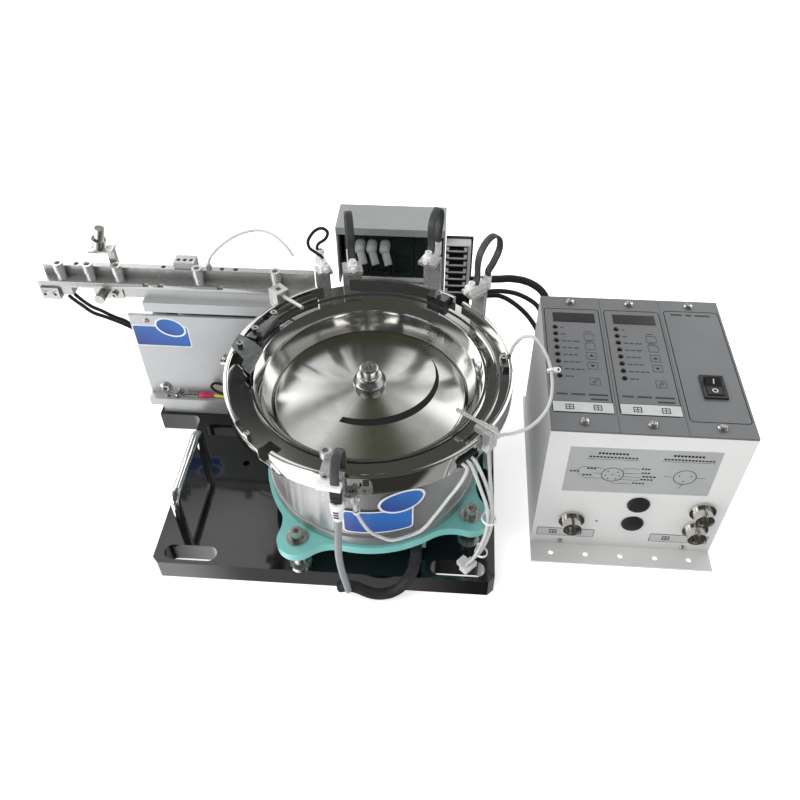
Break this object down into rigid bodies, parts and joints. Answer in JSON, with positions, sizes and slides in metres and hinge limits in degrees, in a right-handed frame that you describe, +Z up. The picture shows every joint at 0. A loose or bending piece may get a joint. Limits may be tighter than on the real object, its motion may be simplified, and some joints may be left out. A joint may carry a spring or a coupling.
{
  "type": "vibratory bowl feeder",
  "caption": "Vibratory bowl feeder with a polished steel bowl on a lobed base, a linear feeder track, a valve bank, an air tube bundle and its two-channel controller.",
  "frame": {"origin": "on the bowl's axis, at the underside of the base plate", "axes": "+Z up along the bowl's axis; +X to the right along the base plate's front edge, away from the rails' free end; +Y from the front edge to the back"},
  "size_m": [0.585, 0.3147, 0.2369],
  "materials": {
    "black_plate": "glossy black",
    "chrome_handle": "polished",
    "bright_screws": "bright",
    "zinc_feet": "satin",
    "teal_casting": "satin teal",
    "casing_aluminium": "satin turned",
    "iron_block": "machined",
    "spring_steel": "satin",
    "dark_bolts": "black oxide",
    "core_iron": "laminated",
    "coil_copper": "varnished copper",
    "bowl_steel": "polished",
    "disc_steel": "turned",
    "guide_steel": "satin",
    "black_plastic": "matt",
    "bracket_steel": "satin",
    "white_plastic": "white",
    "lead_black": "black",
    "linear_aluminium": "satin",
    "brass_terminal": "plain",
    "rail_steel": "ground",
    "sheet_zinc": "light grey",
    "stand_grey": "grey",
    "valve_green": "dark green",
    "fitting_grey": "grey",
    "case_white": "fine texture white",
    "panel_grey": "grey",
    "window_black": "glossy black",
    "socket_nickel": "nickel",
    "tube_grey": "grey",
    "sleeve_black": "braided",
    "tube_clear": "translucent white",
    "wire_yellow": "yellow"
  },
  "bodies": {
    "base": {"base_plate": "black_plate", "carry_handles": "chrome_handle", "drive_feet": "zinc_feet", "drive_base": "teal_casting", "foot_screws": "bright_screws", "foot_washers": "bright_screws", "drive_casing": "casing_aluminium", "spring_block": "iron_block", "leaf_springs": "spring_steel", "lower_spring_bolts": "dark_bolts", "magnet_core": "core_iron", "magnet_coil": "coil_copper", "linear_base": "linear_aluminium", "linear_riser": "linear_aluminium", "linear_covers": "linear_aluminium", "linear_springs": "spring_steel", "linear_magnet": "core_iron", "earth_terminal": "brass_terminal", "valve_cover": "sheet_zinc", "valve_stand": "stand_grey", "valve_bank": "valve_green", "elbow_fittings": "fitting_grey", "terminal_block": "black_plastic", "controller_case": "case_white", "controller_panels": "panel_grey", "display_windows": "window_black", "panel_screws": "bright_screws", "round_sockets": "socket_nickel", "blank_caps": "black_plastic", "switch_frame": "window_black", "controller_cables": "lead_black", "braided_sleeve": "sleeve_black", "earth_wires": "wire_yellow"},
    "rocker": {"switch_rocker": "window_black"},
    "bowl_unit": {"top_frame": "casing_aluminium", "armature": "core_iron", "upper_spring_bolts": "dark_bolts", "bowl": "bowl_steel", "bowl_disc": "disc_steel", "centre_nut": "chrome_handle", "centre_screw": "bright_screws", "track_guides": "guide_steel", "rim_screws": "bright_screws", "tube_port": "black_plastic", "front_clamp": "bracket_steel", "rear_brackets": "bracket_steel", "sensor_heads": "white_plastic", "air_nozzles": "bracket_steel", "fibre_leads": "lead_black", "lead_sleeves": "white_plastic", "front_tube": "tube_grey", "air_tubes": "tube_clear"},
    "track_unit": {"track_carrier": "linear_aluminium", "front_rail": "rail_steel", "back_rail": "rail_steel", "rail_pillars": "rail_steel", "track_stop": "bracket_steel", "track_sensor": "bracket_steel", "rail_tube": "tube_clear", "track_cables": "lead_black"}
  },
  "joints": [
    {"name": "switch_rock", "type": "hinge", "parent": "base", "child": "rocker", "pos_m": [0.2635, 0.0155, 0.1415], "axis": [1, 0, 0], "range_deg": [-18, 0]},
    {"name": "bowl_swing", "type": "hinge", "parent": "base", "child": "bowl_unit", "pos_m": [0, 0, 0.128], "axis": [0, 0, 1], "range_deg": [-0.25, 0.25], "stiffness_Nm_per_rad": 2000},
    {"name": "track_shake", "type": "slide", "parent": "base", "child": "track_unit", "axis": [1, 0, 0], "range_m": [-0.0003, 0.0003], "stiffness_N_per_m": 60000}
  ]
}
